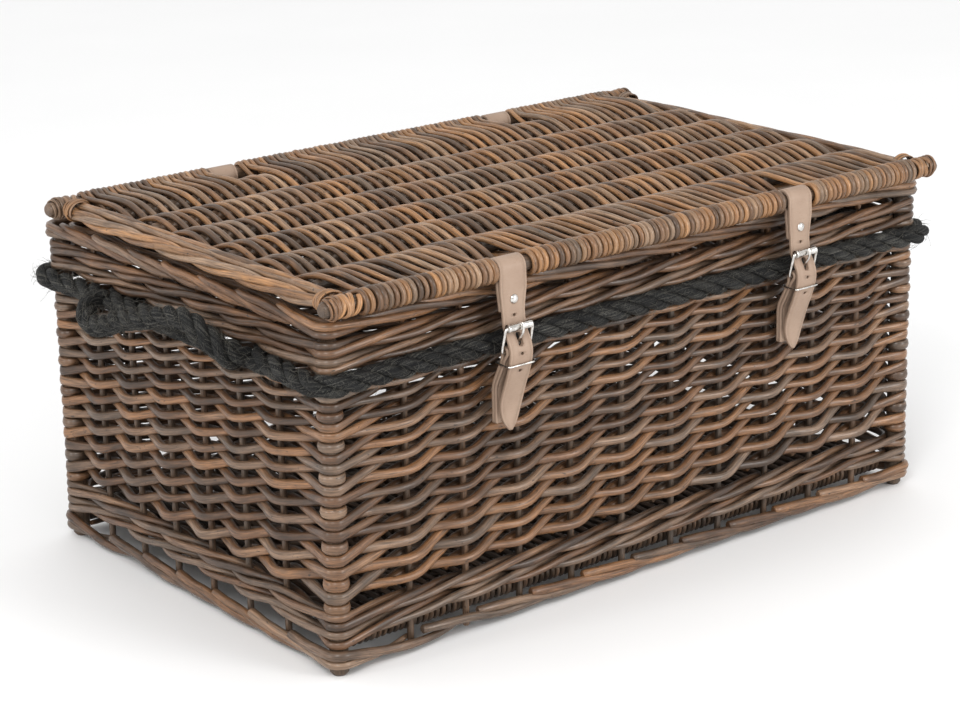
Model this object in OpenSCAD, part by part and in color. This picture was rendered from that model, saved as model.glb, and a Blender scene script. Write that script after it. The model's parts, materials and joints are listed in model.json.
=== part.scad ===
// Wicker storage trunk with a hinged lid, two buckled leather straps and two rope grips.
// Millimetres. +X runs to the right, -Y is the front, +Z is up. The feet stand on z = 0.

/* [Body] */
// Distance between the corner posts' centres, left to right
body_w = 590; // [500:1:700]
// Distance between the corner posts' centres, front to back
body_d = 366; // [300:1:440]
// Stakes in the front wall and in the back wall
stakes_long = 10; // [6:1:14]
// Stakes in each end wall
stakes_short = 6; // [4:1:9]
// Diameter of a stake
stake_d = 5.4; // [4:0.1:7]
// Diameter of a corner post
post_d = 14; // [12:0.5:16]

/* [Lid] */
// Height of the lid's outer sticks above the floor
lid_z = 283; // [260:1:320]
// Diameter of the lid's outer sticks
lid_stick_d = 12; // [10:0.5:13]
// Sticks inside the lid, between the front stick and the back stick
lid_inner_sticks_count = 6; // [4:1:9]
// How far the lid's outer sticks run past the corner posts' centres
lid_overhang = 17; // [12:1:24]

/* [Leather] */
// Width of every strap where it goes round a lid stick
strap_w = 25; // [22:1:28]
// Width of the closing strap from its buckle down, and of the lower strap
strap_narrow = 21; // [18:1:22]
// Thickness of one layer of leather
leather_t = 2.8; // [2:0.1:3.2]
// Distance of each strap's middle from the trunk's middle
strap_x = 147.5; // [120:0.5:180]

/* [Rope] */
// Diameter of the rope
rope_d = 16.4; // [14:0.2:17]
// Half the distance between the two ends of a grip
grip_half = 100; // [85:1:110]
// How far a grip stands out from the line of its two ends
grip_reach = 30; // [27:1:34]
// How far the middle of a grip is lifted at rest
grip_rise = 12; // [6:1:16]
// How much higher its front half stands than its back half
grip_wave = 22; // [0:1:24]

/* [Hidden] */
$fn = 48;

willow = [0.36, 0.26, 0.19];
willow_dark = [0.27, 0.20, 0.15];
willow_light = [0.45, 0.34, 0.25];
rope_grey = [0.10, 0.10, 0.10];
leather = [0.80, 0.66, 0.54];
nickel = [0.78, 0.78, 0.76];

// The lid and its buckles stand out further in front than the hinges do behind, so the walls sit behind the origin.
walls_shift = 7;
left_x = -body_w / 2;
right_x = body_w / 2;
front_y = -body_d / 2 + walls_shift;
back_y = body_d / 2 + walls_shift;

// Heights of the woven bands
foot_z = 4;
foot_top = 18;
base_z = 16.5;
base_top = 28.5;
wale_z = 27;
rand_z = 50;
rope_band_z = 216;
top_wale_z = 234.5;
border_z = 251;
border_top = 269.5;

// The first space beside each front post is wider than the others by this much.
first_extra = 13;

// How far each band reaches out and in from the line of the stakes
wall_out = 8;
wall_in = 7;
wale_out = 9;
border_out = 11;
corner_wrap = 5.4;
seam = 0.1;
gap = 0.3;
running = 0.05;

// Rope
rope_r = rope_d / 2;
rope_z = (rope_band_z + top_wale_z) / 2;
rope_out = wall_out / 2 + rope_r;
rope_corner_r = post_d / 2 + rope_r + 0.2;
ease = 34;

// Lid
stick_r = lid_stick_d / 2;
front_stick_y = front_y - 17.8;
back_stick_y = back_y - 9.6;
stick_half = body_w / 2 + lid_overhang;
wrap_r = 10;
tie_r = 12.6;
tie_w = 11;
tie_x = stick_half - 19;
lid_half = tie_x - 11;
lid_border_r = 8.5;
lid_border_x = tie_x - 2;
inner_stick_d = 9;
lid_t = 15;
loop_in = stick_r + running;
loop_out = loop_in + leather_t;
strap_gap = strap_w + 4;

// Buckle, from the middle of the lid's front stick
bar = [-9.8, -60.5];
bar_r = 1.5;
roller_at = [-14.5, -41.5];
roller_r = 3.2;
roller_len = strap_narrow + 1.6;
frame_half = strap_narrow / 2 + 2.3;
frame_side = 2.2;
hole_z = [-56.5, -46];
buckle_rivet_z = [-98.5, -111];
keeper_r = 0.8;

function post_at(sx, sy) = [sx * body_w / 2, (sy < 0) ? front_y : back_y];
// Stakes stand at even spaces, after a first space that is wider by extra.
function row_of(count, start, width, extra) = let (space = (width - extra) / (count + 1))
    [for (i = [1 : count]) start + extra + space * i];
function front_stakes() = row_of(stakes_long, left_x, body_w, first_extra);
function back_stakes() = row_of(stakes_long, left_x, body_w, 0);
function end_stakes() = row_of(stakes_short, front_y, body_d, first_extra);
function unit(v) = v / norm(v);
function shifted(points, y, z) = [for (p = points) [p[0] + y, p[1] + z]];

// The outline of a bent strip: its middle line, moved half the thickness to each side.
function side_of(line, half) = [for (i = [0 : len(line) - 1])
    let (a = line[max(i - 1, 0)], b = line[min(i + 1, len(line) - 1)], d = unit(b - a))
    line[i] + half * [-d[1], d[0]]];
function reversed(v) = [for (i = [len(v) - 1 : -1 : 0]) v[i]];
function strip(line, t) = concat(side_of(line, t / 2), reversed(side_of(line, -t / 2)));

// A strip of leather, given as an outline in Y and Z, standing across X.
module across_x(x, w) {
    translate([x - w / 2, 0, 0])
        rotate([90, 0, 90])
            linear_extrude(height = w) children();
}

module rod_x(x0, x1, y, z, r) {
    translate([x0, y, z]) rotate([0, 90, 0]) cylinder(h = x1 - x0, r = r);
}

module rod_y(y0, y1, x, z, r) {
    translate([x, y0, z]) rotate([-90, 0, 0]) cylinder(h = y1 - y0, r = r);
}

module rod_z(z0, z1, x, y, r) {
    translate([x, y, z0]) cylinder(h = z1 - z0, r = r);
}

// A tube swept along points, with flat ends and the given number of sides.
module swept(points, r, sides) {
    n = len(points);
    rings = [for (i = [0 : n - 1])
        let (t = unit(points[min(i + 1, n - 1)] - points[max(i - 1, 0)]),
             u = unit(cross([0, 0, 1], t)),
             v = cross(t, u))
        for (k = [0 : sides - 1])
            points[i] + r * (cos(360 * k / sides) * u + sin(360 * k / sides) * v)];
    skin = [for (i = [0 : n - 2]) for (k = [0 : sides - 1])
        let (a = i * sides + k, b = i * sides + (k + 1) % sides)
        [a, a + sides, b + sides, b]];
    caps = [[for (k = [0 : sides - 1]) k],
            [for (k = [sides - 1 : -1 : 0]) (n - 1) * sides + k]];
    polyhedron(points = rings, faces = concat(skin, caps), convexity = 6);
}

// ---- Frame of the body ----

module post(sx, sy) {
    p = post_at(sx, sy);
    color(willow_dark) rod_z(0, border_z - seam, p[0], p[1], post_d / 2);
}

module stakes_x(y, places) {
    for (x = places) rod_z(foot_z + 1, border_top - 3, x, y, stake_d / 2);
}

module stakes_y(x) {
    for (y = end_stakes()) rod_z(foot_z + 1, border_top - 3, x, y, stake_d / 2);
}

module stakes(wall) {
    color(willow) {
        if (wall == "front") stakes_x(front_y, front_stakes());
        if (wall == "back") stakes_x(back_y, back_stakes());
        if (wall == "left") stakes_y(left_x);
        if (wall == "right") stakes_y(right_x);
    }
}

// What the posts and stakes take out of a woven band
module uprights() {
    for (sx = [-1, 1]) for (sy = [-1, 1])
        let (p = post_at(sx, sy)) rod_z(-1, border_z, p[0], p[1], post_d / 2);
    stakes_x(front_y, front_stakes());
    stakes_x(back_y, back_stakes());
    for (x = [left_x, right_x]) stakes_y(x);
}

// One long wall of a band, with the wraps round its two corner posts
module long_band(y, outward, z0, z1, out, inn) {
    lo = (outward < 0) ? y - out : y - inn;
    union() {
        translate([left_x, lo, z0]) cube([body_w, out + inn, z1 - z0]);
        for (x = [left_x, right_x]) rod_z(z0, z1, x, y, post_d / 2 + corner_wrap);
    }
}

// One end wall of a band, between the two long walls
module short_band(x, outward, z0, z1, out, inn) {
    lo = (outward < 0) ? x - out : x - inn;
    clear = post_d / 2 + corner_wrap + seam;
    translate([lo, front_y + clear, z0]) cube([out + inn, body_d - 2 * clear, z1 - z0]);
}

module ring_band(z0, z1, out, inn) {
    difference() {
        union() {
            long_band(front_y, -1, z0, z1, out, inn);
            long_band(back_y, 1, z0, z1, out, inn);
            short_band(left_x, -1, z0, z1, out, inn);
            short_band(right_x, 1, z0, z1, out, inn);
        }
        uprights();
    }
}

// ---- Base ----

base_half_x = body_w / 2 - post_d / 2 - corner_wrap - 0.5;
base_stick_in = wall_in + 1 + 5;

module base_stick(y) {
    color(willow_dark) rod_x(-base_half_x, base_half_x, y, (base_z + base_top) / 2, 5);
}

module base_inner_sticks() {
    color(willow_dark) for (y = base_inner_y())
        rod_x(-base_half_x + 2, base_half_x - 2, y, (base_z + base_top) / 2, 3.5);
}

function base_inner_y() = let (n = 6, lo = front_y + base_stick_in, hi = back_y - base_stick_in)
    [for (i = [1 : n]) lo + (hi - lo) * i / (n + 1)];

module base_weave() {
    color(willow) difference() {
        translate([-base_half_x, front_y + wall_in + 0.5, base_z])
            cube([2 * base_half_x, body_d - 2 * wall_in - 1, base_top - base_z]);
        for (y = [front_y + base_stick_in, back_y - base_stick_in])
            rod_x(-base_half_x - 1, base_half_x + 1, y, (base_z + base_top) / 2, 5);
        for (y = base_inner_y())
            rod_x(-base_half_x + 2, base_half_x - 2, y, (base_z + base_top) / 2, 3.5);
        // room for the corner wraps of the walls
        for (x = [left_x, right_x]) for (y = [front_y, back_y])
            rod_z(base_z - 1, base_top + 1, x, y, post_d / 2 + corner_wrap + 0.5);
    }
}

// ---- Walls ----

module foot_border() {
    color(willow_dark) ring_band(foot_z, foot_top, wale_out, wall_in);
}

module bottom_wale() {
    color(willow) ring_band(wale_z, rand_z, wale_out, wall_in);
}

module rand_long(y, outward) {
    color(willow_light) difference() {
        long_band(y, outward, rand_z + seam, rope_band_z, wall_out, wall_in);
        uprights();
        buckle_rivet_shanks();
    }
}

module rand_short(x, outward) {
    color(willow_light) difference() {
        short_band(x, outward, rand_z + seam, rope_band_z, wall_out, wall_in);
        uprights();
    }
}

module top_wale() {
    color(willow) difference() {
        ring_band(top_wale_z, border_z - seam, wale_out, wall_in);
        hinge_rivet_shanks();
    }
}

module top_border() {
    color(willow_dark) ring_band(border_z, border_top, border_out, wall_in);
}

// ---- Rope ----

// The rope's way round one corner of the body, from the end wall to the long wall.
// sx and sy name the corner; the rope eases out round the post and back in.
function corner_way(sx, sy) =
    let (p = post_at(sx, sy), a = [for (t = [-6 : 17 : 96]) t])
    concat(
        [[p[0] + sx * rope_out, p[1] - sy * (rope_corner_r + ease), rope_z]],
        [for (t = a) [p[0] + sx * rope_corner_r * cos(t), p[1] + sy * rope_corner_r * sin(t), rope_z]],
        [[p[0] - sx * (rope_corner_r + ease), p[1] + sy * rope_out, rope_z]]);

// Half of the trim: from the left grip round one long wall to the right grip.
function trim_way(sy) =
    let (mid = walls_shift, end = grip_half + rope_r + gap)
    concat(
        [[left_x - rope_out, mid + sy * end, rope_z]],
        corner_way(-1, sy),
        reversed(corner_way(1, sy)),
        [[right_x + rope_out, mid + sy * end, rope_z]]);

module rope_trim() {
    color(rope_grey) {
        for (sy = [-1, 1]) swept(trim_way(sy), rope_r, 12);
        for (sx = [-1, 1]) trim_behind_grip(sx);
    }
}

module trim_behind_grip(sx) {
    half = grip_half - rope_r - 3;
    rod_y(walls_shift - half, walls_shift + half, sx * (body_w / 2 + rope_out), rope_z, rope_r);
}

// The left grip bows out between its two ends. The stiff rope stands up in front and hangs behind.
function grip_point(t) =
    let (swing = cos(180 * t),
         reach = grip_reach * pow(sin(180 * t), 0.42),
         along = -grip_half * sign(swing) * pow(abs(swing), 0.75),
         up = pow(sin(180 * t), 2) * (grip_rise + 2 * grip_wave * swing))
    [-(body_w / 2 + rope_out + reach), walls_shift + along, rope_z + up];
grip_steps = 22;
function grip_way() = [for (i = [0 : grip_steps]) grip_point(i / grip_steps)];

module left_grip() {
    way = grip_way();
    union() {
        swept(way, rope_r - 0.6, 12);
        for (end = [0, grip_steps]) translate(way[end]) sphere(r = rope_r);
    }
}

module grip(sx) {
    color(rope_grey) mirror([sx > 0 ? 1 : 0, 0, 0]) left_grip();
}

// The grip's two ends go in through the wall and are knotted inside it.
module grip_knots(sx) {
    through = 27;
    knot = 15;
    color(rope_grey) for (sy = [-1, 1])
        translate([sx * (body_w / 2 + rope_out - rope_r - gap), walls_shift + sy * grip_half, rope_z])
            rotate([0, -sx * 90, 0]) {
                cylinder(h = through - knot / 2, r = rope_r - 1);
                translate([0, 0, through - knot]) cylinder(h = knot / 3, r1 = rope_r - 1, r2 = rope_r + 3);
                translate([0, 0, through - knot * 2 / 3]) cylinder(h = knot / 3, r = rope_r + 3);
                translate([0, 0, through - knot / 3]) cylinder(h = knot / 3, r1 = rope_r + 3, r2 = rope_r - 1);
            }
}

// ---- Lid ----

module lid_stick(y) {
    color(willow_dark) rod_x(-stick_half, stick_half, y, lid_z, stick_r);
}

function lid_inner_y() = [for (i = [1 : lid_inner_sticks_count])
    front_stick_y + (back_stick_y - front_stick_y) * i / (lid_inner_sticks_count + 1)];

module lid_inner_sticks() {
    color(willow_dark) for (y = lid_inner_y())
        rod_x(-lid_half + 2, lid_half - 2, y, lid_z, inner_stick_d / 2);
}

module lid_weave() {
    color(willow) difference() {
        union() {
            translate([-lid_half, front_stick_y, lid_z - lid_t / 2])
                cube([2 * lid_half, back_stick_y - front_stick_y, lid_t]);
            for (y = [front_stick_y, back_stick_y]) rod_x(-lid_half, lid_half, y, lid_z, wrap_r);
        }
        for (y = [front_stick_y, back_stick_y]) {
            rod_x(-lid_half - 1, lid_half + 1, y, lid_z, stick_r);
            for (x = [-strap_x, strap_x])
                rod_x(x - strap_gap / 2, x + strap_gap / 2, y, lid_z, wrap_r + 1.5);
        }
        for (y = lid_inner_y()) rod_x(-lid_half + 2, lid_half - 2, y, lid_z, inner_stick_d / 2);
    }
}

module lid_border(sx) {
    inset = tie_r + 0.2;
    color(willow_light)
        rod_y(front_stick_y + inset, back_stick_y - inset, sx * lid_border_x, lid_z, lid_border_r);
}

module lid_ties() {
    color(willow_dark) for (y = [front_stick_y, back_stick_y]) for (sx = [-1, 1]) difference() {
        rod_x(sx * tie_x - tie_w / 2, sx * tie_x + tie_w / 2, y, lid_z, tie_r);
        rod_x(sx * tie_x - tie_w, sx * tie_x + tie_w, y, lid_z, stick_r);
    }
}

// ---- Front straps and buckles ----

// The closing strap's middle line, from the middle of the lid's front stick: up behind, over the
// stick, down, in behind the roller, out over the bar and down to the tip.
loop_r = loop_in + leather_t / 2;
strap_down = [
    [-loop_r, -4], [-7.9, -11], [-7.6, -20], [-7.6, -30], [-8.1, -36.5], [-8.9, -41.5], [-11, -47],
    [-14.6, -53.5], [-16.3, -59], [-16.3, -63.5], [-15, -70], [-12, -79], [-7.6, -90], [-4, -101],
    [-2.4, -109], [-2.4, -124]
];
strap_back = [[-3.9, -6.1], [-4.2, -10], [-4.5, -20], [-4.5, -31]];

module closing_strap(sx) {
    x = sx * strap_x;
    color(leather) difference() {
        union() {
            rod_x(x - strap_w / 2, x + strap_w / 2, front_stick_y, lid_z, loop_out);
            across_x(x, strap_w) {
                polygon(shifted(strip(strap_down, leather_t), front_stick_y, lid_z));
                polygon(shifted(strip(strap_back, leather_t), front_stick_y, lid_z));
            }
        }
        rod_x(x - strap_w, x + strap_w, front_stick_y, lid_z, loop_in);
        // the hole that the prong comes through
        translate([x - 2.6, front_stick_y - 40, lid_z + hole_z[0]])
            cube([5.2, 36, hole_z[1] - hole_z[0]]);
        strap_sides(x);
        // the tail is rounded to a blunt point
        for (s = [-1, 1]) translate([x + s * strap_narrow / 2, front_stick_y - 30, lid_z - 126])
            rotate([0, s * 34, 0]) translate([-7.4, 0, -30]) cube([18, 30, 41]);
        strap_rivet_shank(sx);
    }
}

// What is cut from both sides of the closing strap, where it narrows towards its buckle
module strap_sides(x) {
    half = strap_narrow / 2;
    outline = [[strap_w / 2, -14], [half, -31], [half, -130], [strap_w, -130], [strap_w, -14]];
    for (s = [-1, 1]) translate([x, front_stick_y + 2, lid_z]) rotate([90, 0, 0])
        linear_extrude(height = 40) polygon([for (p = outline) [s * p[0], p[1]]]);
}

module at_strap_rivet(sx) {
    translate([sx * strap_x, front_stick_y - 7.6, lid_z - 22]) children();
}

module strap_rivet_shank(sx) {
    at_strap_rivet(sx) rod_y(-4, 8, 0, 0, 1.8);
}

module strap_rivet(sx) {
    color(nickel) at_strap_rivet(sx) {
        rod_y(-2, 6, 0, 0, 1.8);
        translate([0, -1.5, 0]) rotate([90, 0, 0]) cylinder(h = 2.4, r1 = 4.4, r2 = 2.8);
        rod_y(4.9, 6.3, 0, 0, 4);
    }
}

// The lower strap is folded round the bar, and its two layers lie together down to the wall.
pack_t = 2 * leather_t - 0.2;
fold_r = bar_r + running + leather_t - 0.3;
pack_y = 3.4;
pack = [[-8.7, -63.5], [-6.6, -69], [-3.2, -76], [0.2, -82.5], [2.6, -88], [pack_y, -92], [pack_y, -118]];

module buckle_strap(sx) {
    x = sx * strap_x;
    color(leather) difference() {
        union() {
            rod_x(x - strap_narrow / 2, x + strap_narrow / 2, front_stick_y + bar[0], lid_z + bar[1], fold_r);
            across_x(x, strap_narrow) polygon(shifted(strip(pack, pack_t), front_stick_y, lid_z));
        }
        rod_x(x - strap_w, x + strap_w, front_stick_y + bar[0], lid_z + bar[1], bar_r + running);
        // the slot that the prong turns in
        translate([x - 3, front_stick_y + bar[0] - 7, lid_z + bar[1] - 4.5]) cube([6, 12, 12]);
        buckle_rivet_shanks();
    }
}

module buckle_rivet_shanks() {
    for (sx = [-1, 1]) for (z = buckle_rivet_z)
        rod_y(front_y - 22, front_y + 12, sx * strap_x, lid_z + z, 1.8);
}

module buckle_rivets(sx) {
    x = sx * strap_x;
    face = front_stick_y + pack_y - pack_t / 2;
    color(nickel) for (z = buckle_rivet_z) {
        rod_y(face - 1, front_y + wall_in + 1.4, x, lid_z + z, 1.8);
        translate([x, face, lid_z + z]) rotate([90, 0, 0]) cylinder(h = 1.3, r1 = 4.2, r2 = 2.8);
        rod_y(front_y + wall_in, front_y + wall_in + 1.4, x, lid_z + z, 6);
    }
}

module buckle_frame(sx) {
    x = sx * strap_x;
    a = [front_stick_y + bar[0], lid_z + bar[1]];
    b = [front_stick_y + roller_at[0], lid_z + roller_at[1]];
    color(nickel) union() {
        for (p = [a, b]) rod_x(x - frame_half, x + frame_half, p[0], p[1], bar_r);
        for (s = [-1, 1]) across_x(x + s * frame_half, frame_side) {
            for (p = [a, b]) translate(p) circle(r = bar_r);
            polygon(strip([a, b], 2 * bar_r));
        }
    }
}

module buckle_roller(sx) {
    x = sx * strap_x;
    y = front_stick_y + roller_at[0];
    z = lid_z + roller_at[1];
    color(nickel) difference() {
        rod_x(x - roller_len / 2, x + roller_len / 2, y, z, roller_r);
        rod_x(x - roller_len, x + roller_len, y, z, bar_r + running);
    }
}

// The prong's eye turns on the bar, and its tip rests on the front of the roller.
module buckle_prong(sx) {
    x = sx * strap_x;
    eye_r = bar_r + running;
    line = [[-10.4, -57.7], [-12.8, -53.2], [-16.2, -49], [-18.8, -45], [-19.3, -41.4], [-18.4, -37.8]];
    color(nickel) difference() {
        union() {
            rod_x(x - 2, x + 2, front_stick_y + bar[0], lid_z + bar[1], eye_r + 1.5);
            across_x(x, 2.4) polygon(shifted(strip(line, 1.8), front_stick_y, lid_z));
        }
        rod_x(x - 4, x + 4, front_stick_y + bar[0], lid_z + bar[1], eye_r);
    }
}

// A thin wire loop round the tail and the folded strap
module strap_keeper(sx) {
    x = sx * strap_x;
    half = strap_narrow / 2 + 1.6;
    y0 = front_stick_y - 17.4;
    y1 = front_stick_y - 1.2;
    z0 = lid_z - 70;
    color(nickel) union() {
        for (y = [y0, y1]) rod_x(x - half, x + half, y, z0, keeper_r);
        for (s = [-1, 1]) {
            rod_y(y0, y1, x + s * half, z0, keeper_r);
            for (y = [y0, y1]) translate([x + s * half, y, z0]) sphere(r = keeper_r);
        }
    }
}

// ---- Hinge straps ----

// From the middle of the lid's back stick, which turns in the loop
hinge_pack = [
    [5.4, -3.4], [12, -6.2], [20, -8.6], [25.6, -13], [26.6, -20], [25.6, -29.5], [22.6, -36], [22.6, -47]
];
hinge_rivet_z = -42;
hinge_face = 22.6;

module hinge_strap(sx) {
    x = sx * strap_x;
    color(leather) difference() {
        union() {
            rod_x(x - strap_w / 2, x + strap_w / 2, back_stick_y, lid_z, loop_out);
            across_x(x, strap_w) polygon(shifted(strip(hinge_pack, pack_t), back_stick_y, lid_z));
        }
        rod_x(x - strap_w, x + strap_w, back_stick_y, lid_z, loop_in);
        hinge_rivet_shanks();
    }
}

module hinge_rivet_shanks() {
    for (x = [-strap_x - 6, -strap_x + 6, strap_x - 6, strap_x + 6])
        rod_y(back_y - 12, back_y + 20, x, lid_z + hinge_rivet_z, 1.8);
}

module hinge_rivets(sx) {
    face = back_stick_y + hinge_face + pack_t / 2 + 0.1;
    color(nickel) for (x = [sx * strap_x - 6, sx * strap_x + 6]) {
        rod_y(back_y - wall_in - 1.4, face + 1, x, lid_z + hinge_rivet_z, 1.8);
        translate([x, face, lid_z + hinge_rivet_z]) rotate([-90, 0, 0]) cylinder(h = 2.2, r1 = 4.2, r2 = 2.6);
        rod_y(back_y - wall_in - 1.4, back_y - wall_in, x, lid_z + hinge_rivet_z, 5);
    }
}

post(-1, -1);  // post_front_left
post(1, -1);  // post_front_right
post(-1, 1);  // post_back_left
post(1, 1);  // post_back_right
stakes("front");  // stakes_front
stakes("back");  // stakes_back
stakes("left");  // stakes_left
stakes("right");  // stakes_right
base_stick(front_y + base_stick_in);  // base_stick_front
base_stick(back_y - base_stick_in);  // base_stick_back
base_inner_sticks();
base_weave();
foot_border();
bottom_wale();
rand_long(front_y, -1);  // rand_front
rand_long(back_y, 1);  // rand_back
rand_short(left_x, -1);  // rand_left
rand_short(right_x, 1);  // rand_right
top_wale();
top_border();
rope_trim();
grip(-1);  // grip_left
grip(1);  // grip_right
grip_knots(-1);  // grip_knots_left
grip_knots(1);  // grip_knots_right
lid_stick(front_stick_y);  // lid_stick_front
lid_stick(back_stick_y);  // lid_stick_back
lid_inner_sticks();
lid_weave();
lid_border(-1);  // lid_border_left
lid_border(1);  // lid_border_right
lid_ties();
closing_strap(-1);  // closing_strap_left
closing_strap(1);  // closing_strap_right
strap_rivet(-1);  // strap_rivet_left
strap_rivet(1);  // strap_rivet_right
buckle_strap(-1);  // buckle_strap_left
buckle_strap(1);  // buckle_strap_right
buckle_rivets(-1);  // buckle_rivets_left
buckle_rivets(1);  // buckle_rivets_right
buckle_frame(-1);  // buckle_frame_left
buckle_frame(1);  // buckle_frame_right
buckle_roller(-1);  // buckle_roller_left
buckle_roller(1);  // buckle_roller_right
buckle_prong(-1);  // buckle_prong_left
buckle_prong(1);  // buckle_prong_right
strap_keeper(-1);  // strap_keeper_left
strap_keeper(1);  // strap_keeper_right
hinge_strap(-1);  // hinge_strap_left
hinge_strap(1);  // hinge_strap_right
hinge_rivets(-1);  // hinge_rivets_left
hinge_rivets(1);  // hinge_rivets_right
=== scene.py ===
# Wicker storage trunk: the visible pieces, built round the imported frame. Lengths are in millimetres.
import json
import math

import bpy
import numpy as np
from mathutils import Matrix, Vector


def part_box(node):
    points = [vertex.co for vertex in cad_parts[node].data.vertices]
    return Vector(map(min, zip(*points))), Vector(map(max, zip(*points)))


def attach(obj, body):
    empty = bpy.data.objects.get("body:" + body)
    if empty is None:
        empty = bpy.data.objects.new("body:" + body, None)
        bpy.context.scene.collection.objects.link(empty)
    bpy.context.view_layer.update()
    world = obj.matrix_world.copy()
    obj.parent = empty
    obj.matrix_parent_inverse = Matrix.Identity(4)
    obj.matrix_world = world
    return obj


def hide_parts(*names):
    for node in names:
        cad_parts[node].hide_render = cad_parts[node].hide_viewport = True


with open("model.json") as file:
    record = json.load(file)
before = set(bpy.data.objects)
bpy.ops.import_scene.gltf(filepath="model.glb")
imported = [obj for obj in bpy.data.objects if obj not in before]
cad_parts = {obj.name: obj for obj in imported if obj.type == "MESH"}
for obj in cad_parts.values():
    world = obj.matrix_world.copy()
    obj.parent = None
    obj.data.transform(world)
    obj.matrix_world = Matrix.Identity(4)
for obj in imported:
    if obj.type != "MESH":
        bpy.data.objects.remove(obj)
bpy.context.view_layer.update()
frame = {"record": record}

MM = 0.001
# Each rod's place along itself starts at a number below this, so no two rods have the same streaks
ROD_OFFSETS = 9973
RECORD = frame["record"]
BODY_OF = {node: body for body, nodes in RECORD["behaviour"]["bodies"].items() for node in nodes}
SLOT_OF = {part["node"]: part["material_slot"] for part in RECORD["subparts"]}
SIDES = (("left", -1), ("right", 1))
# How far a rod's rounded tip goes past its path, as a share of its radius
TIP = 0.35
RANDOM = np.random.default_rng(11)
X_AXIS = np.array([1.0, 0.0, 0.0])
Y_AXIS = np.array([0.0, 1.0, 0.0])
Z_AXIS = np.array([0.0, 0.0, 1.0])


def box_mm(node):
    low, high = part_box(node)
    return np.array(low) / MM, np.array(high) / MM


def middle(node):
    low, high = box_mm(node)
    return (low + high) / 2


def extent(node, axis):
    low, high = box_mm(node)
    return low[axis], high[axis]


def size(node, axis):
    low, high = extent(node, axis)
    return high - low


# ---- Sizes taken from the frame ----

LEFT, FRONT, _ = middle("post_front_left")
RIGHT, BACK, _ = middle("post_back_right")
POST_R = size("post_front_left", 0) / 2
CORNER_R = POST_R - 1.0
STAKE_R = 2.7
STAKES_LONG = 10
STAKES_SHORT = 6
FOOT_LOW, FOOT_HIGH = extent("foot_border", 2)
WALE_LOW, WALE_HIGH = extent("bottom_wale", 2)
RAND_LOW, RAND_HIGH = extent("rand_front", 2)
TOP_LOW, _ = extent("top_wale", 2)
BORDER_LOW, BORDER_HIGH = extent("top_border", 2)
ROPE_Z = middle("rope_trim")[2]
_, LID_FRONT, LID_Z = middle("lid_stick_front")
LID_BACK = middle("lid_stick_back")[1]
_, STICK_HALF = extent("lid_stick_front", 0)
STICK_R = size("lid_stick_front", 2) / 2
_, LID_HALF = extent("lid_weave", 0)
STRAP_X = middle("closing_strap_right")[0]
STRAP_W = size("closing_strap_right", 0)
NARROW_W = size("buckle_strap_right", 0)
LEATHER_T = 2.8
# How far each of two doubled layers lies from the line between them
LAYER_OUT = 1.42


# ---- Curves and lofted meshes ----

def unit(vectors):
    return vectors / np.maximum(np.linalg.norm(vectors, axis=-1, keepdims=True), 1e-9)


def spline(knots, step=6.5, closed=False):
    """Rows along a smooth curve through knots. The first three numbers of a row are its place."""
    knots = np.asarray(knots, float)
    if closed:
        padded = np.vstack([knots[-1], knots, knots[:2]])
    else:
        padded = np.vstack([2 * knots[0] - knots[1], knots, 2 * knots[-1] - knots[-2]])
    rows = []
    for a, b, c, d in zip(padded, padded[1:], padded[2:], padded[3:]):
        gaps = [max(np.linalg.norm(q[:3] - p[:3]), 1e-3) ** 0.5 for p, q in ((a, b), (b, c), (c, d))]
        t1, t2, t3 = np.cumsum(gaps)
        count = max(1, int(np.ceil(np.linalg.norm(c[:3] - b[:3]) / step)))
        t = (t1 + (t2 - t1) * np.arange(count) / count)[:, None]
        ab = a + (b - a) * t / t1
        bc = b + (c - b) * (t - t1) / (t2 - t1)
        cd = c + (d - c) * (t - t2) / (t3 - t2)
        abc = ab + (bc - ab) * t / t2
        bcd = bc + (cd - bc) * (t - t1) / (t3 - t1)
        rows.append(abc + (bcd - abc) * (t - t1) / (t2 - t1))
    if not closed:
        rows.append(knots[-1:])
    return np.vstack(rows)


def tangents(points, closed=False):
    if closed:
        return unit(np.roll(points, -1, axis=0) - np.roll(points, 1, axis=0))
    return unit(np.gradient(points, axis=0))


def travelled(points):
    steps = np.linalg.norm(np.diff(points, axis=0), axis=1)
    return np.concatenate([[0.0], np.cumsum(steps)])


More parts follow.
